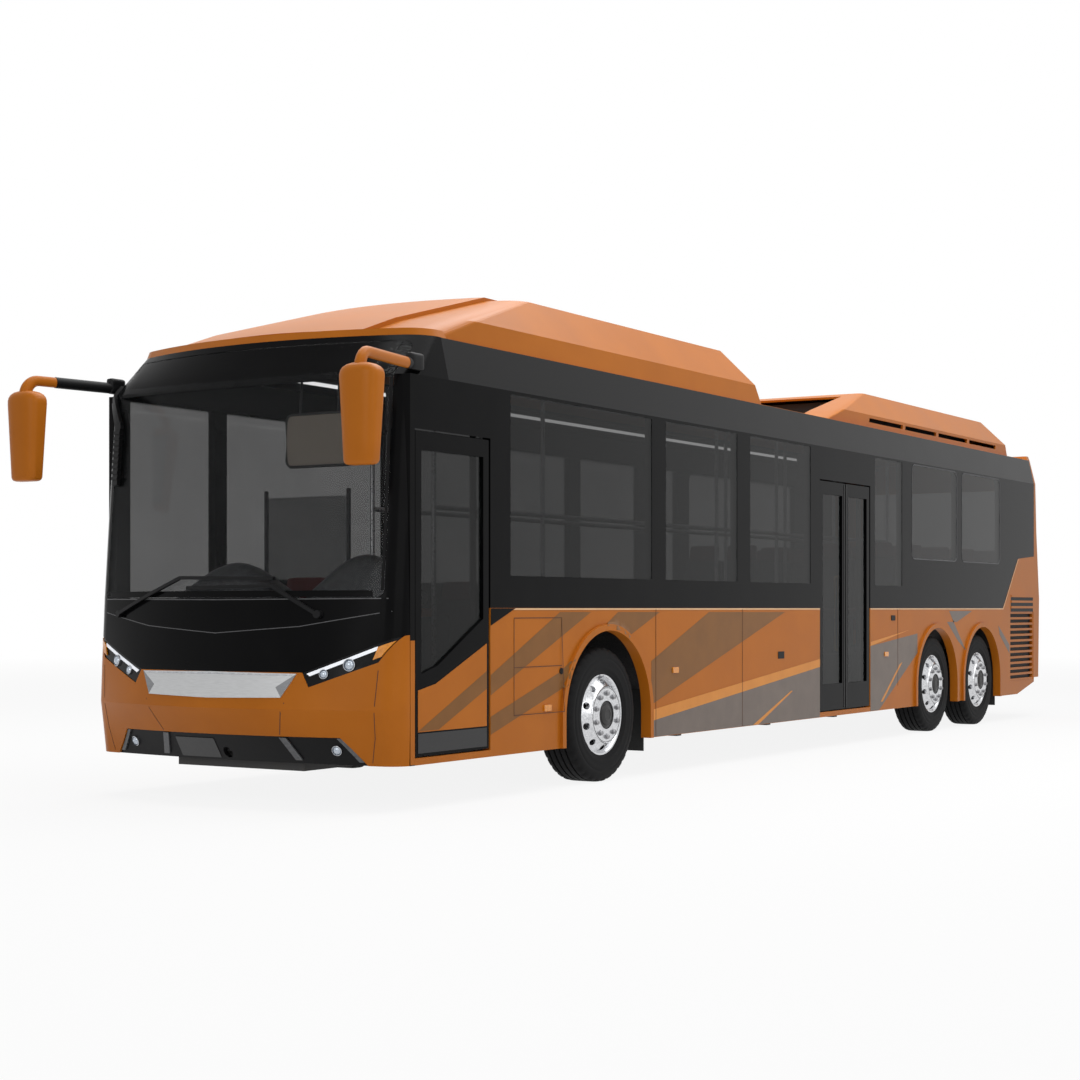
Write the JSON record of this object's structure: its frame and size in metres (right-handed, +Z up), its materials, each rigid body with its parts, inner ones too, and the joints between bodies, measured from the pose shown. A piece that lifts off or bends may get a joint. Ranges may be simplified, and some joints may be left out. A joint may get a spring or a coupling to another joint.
{
  "type": "electric coach",
  "caption": "Low-floor electric coach with roof battery pods, steered front axle, drive and tag axles, outward-gliding doors and a rear service lid.",
  "frame": {"origin": "on the road, under the middle of the overall box", "axes": "+Z up, -Y towards the front, +X towards the coach's left, the door side"},
  "size_m": [2.99, 13.195, 3.35],
  "materials": {
    "body_paint": "gloss",
    "black_gloss": "gloss",
    "black_plastic": "textured",
    "mirror_shell": "gloss",
    "tinted_glass": "polished",
    "satin_trim": "satin",
    "lamp_clear": "clear",
    "lamp_red": "clear",
    "door_frame": "satin",
    "steel_parts": "satin",
    "axle_iron": "cast",
    "floor_covering": "rubbed",
    "seat_trim": "woven",
    "rail_steel": "brushed",
    "flap_rubber": "matte",
    "tyre_rubber": "matte",
    "alloy": "polished"
  },
  "bodies": {
    "coach_body": {"left_lower_wall": "body_paint", "right_lower_wall": "body_paint", "front_bumper": "body_paint", "roof_panel": "body_paint", "front_roof_pod": "body_paint", "rear_roof_pod": "body_paint", "rear_wall": "body_paint", "front_mask": "black_gloss", "left_window_wall": "black_gloss", "right_window_wall": "black_gloss", "bumper_insert": "black_plastic", "side_grilles": "black_plastic", "wipers": "black_plastic", "dashboard": "black_plastic", "door_operators": "black_plastic", "mirrors": "mirror_shell", "windscreen": "tinted_glass", "body_glass": "tinted_glass", "silver_bar": "satin_trim", "headlamps": "lamp_clear", "rear_lamps": "lamp_red", "underframe": "steel_parts", "roof_packs": "steel_parts", "front_axle": "axle_iron", "rear_axles": "axle_iron", "floor_deck": "floor_covering", "seat_bases": "seat_trim", "seat_backs": "seat_trim", "handrails": "rail_steel", "mudflaps": "flap_rubber"},
    "front_door_arms": {"front_door_arms": "steel_parts"},
    "front_door_leaf": {"front_door_leaf": "door_frame", "front_door_glass": "tinted_glass"},
    "mid_door_front_arms": {"mid_door_front_arms": "steel_parts"},
    "mid_door_front_leaf": {"mid_door_front_leaf": "door_frame", "mid_door_front_glass": "tinted_glass"},
    "mid_door_rear_arms": {"mid_door_rear_arms": "steel_parts"},
    "mid_door_rear_leaf": {"mid_door_rear_leaf": "door_frame", "mid_door_rear_glass": "tinted_glass"},
    "wheel_front_left": {"tyre_front_left": "tyre_rubber", "rim_front_left": "alloy"},
    "wheel_front_right": {"tyre_front_right": "tyre_rubber", "rim_front_right": "alloy"},
    "wheel_drive_left": {"tyre_drive_left": "tyre_rubber", "rim_drive_left": "alloy"},
    "wheel_drive_right": {"tyre_drive_right": "tyre_rubber", "rim_drive_right": "alloy"},
    "wheel_tag_left": {"tyre_tag_left": "tyre_rubber", "rim_tag_left": "alloy"},
    "wheel_tag_right": {"tyre_tag_right": "tyre_rubber", "rim_tag_right": "alloy"},
    "knuckle_left": {"knuckle_left": "axle_iron"},
    "knuckle_right": {"knuckle_right": "axle_iron"},
    "rear_hatch": {"rear_hatch": "body_paint"}
  },
  "joints": [
    {"name": "steer_left", "type": "hinge", "parent": "coach_body", "child": "knuckle_left", "pos_m": [0.93, -3.45, 0.479], "axis": [0, 0, 1], "range_deg": [-40, 40]},
    {"name": "steer_right", "type": "hinge", "parent": "coach_body", "child": "knuckle_right", "pos_m": [-0.93, -3.45, 0.479], "axis": [0, 0, 1], "range_deg": [-40, 40]},
    {"name": "spin_front_left", "type": "hinge", "parent": "knuckle_left", "child": "wheel_front_left", "pos_m": [1.082, -3.45, 0.479], "axis": [1, 0, 0], "continuous": true},
    {"name": "spin_front_right", "type": "hinge", "parent": "knuckle_right", "child": "wheel_front_right", "pos_m": [-1.082, -3.45, 0.479], "axis": [1, 0, 0], "continuous": true},
    {"name": "spin_drive_left", "type": "hinge", "parent": "coach_body", "child": "wheel_drive_left", "pos_m": [1.082, 3.15, 0.479], "axis": [1, 0, 0], "continuous": true},
    {"name": "spin_drive_right", "type": "hinge", "parent": "coach_body", "child": "wheel_drive_right", "pos_m": [-1.082, 3.15, 0.479], "axis": [1, 0, 0], "continuous": true},
    {"name": "spin_tag_left", "type": "hinge", "parent": "coach_body", "child": "wheel_tag_left", "pos_m": [1.082, 4.5, 0.479], "axis": [1, 0, 0], "continuous": true},
    {"name": "spin_tag_right", "type": "hinge", "parent": "coach_body", "child": "wheel_tag_right", "pos_m": [-1.082, 4.5, 0.479], "axis": [1, 0, 0], "continuous": true},
    {"name": "front_door_swing", "type": "hinge", "parent": "coach_body", "child": "front_door_arms", "pos_m": [1.165, -5.035, 0.38], "axis": [0, 0, 1], "range_deg": [0, 160]},
    {"name": "front_door_keep_parallel", "type": "hinge", "parent": "front_door_arms", "child": "front_door_leaf", "pos_m": [1.182, -5.425, 0.49], "axis": [0, 0, 1], "range_deg": [-160, 0]},
    {"name": "mid_door_front_swing", "type": "hinge", "parent": "coach_body", "child": "mid_door_front_arms", "pos_m": [1.165, 0.345, 0.38], "axis": [0, 0, -1], "range_deg": [0, 150]},
    {"name": "mid_door_front_keep_parallel", "type": "hinge", "parent": "mid_door_front_arms", "child": "mid_door_front_leaf", "pos_m": [1.182, 0.615, 0.49], "axis": [0, 0, -1], "range_deg": [-150, 0]},
    {"name": "mid_door_rear_swing", "type": "hinge", "parent": "coach_body", "child": "mid_door_rear_arms", "pos_m": [1.165, 1.345, 0.38], "axis": [0, 0, 1], "range_deg": [0, 150]},
    {"name": "mid_door_rear_keep_parallel", "type": "hinge", "parent": "mid_door_rear_arms", "child": "mid_door_rear_leaf", "pos_m": [1.182, 1.075, 0.49], "axis": [0, 0, 1], "range_deg": [-150, 0]},
    {"name": "rear_hatch_hinge", "type": "hinge", "parent": "coach_body", "child": "rear_hatch", "pos_m": [0, 6.628, 1.476], "axis": [1, 0, 0], "range_deg": [0, 80]}
  ],
  "couplings": [
    {"joint": "steer_right", "follows": "steer_left", "ratio": 1},
    {"joint": "front_door_keep_parallel", "follows": "front_door_swing", "ratio": -1},
    {"joint": "mid_door_front_keep_parallel", "follows": "mid_door_front_swing", "ratio": -1},
    {"joint": "mid_door_rear_keep_parallel", "follows": "mid_door_rear_swing", "ratio": -1}
  ]
}
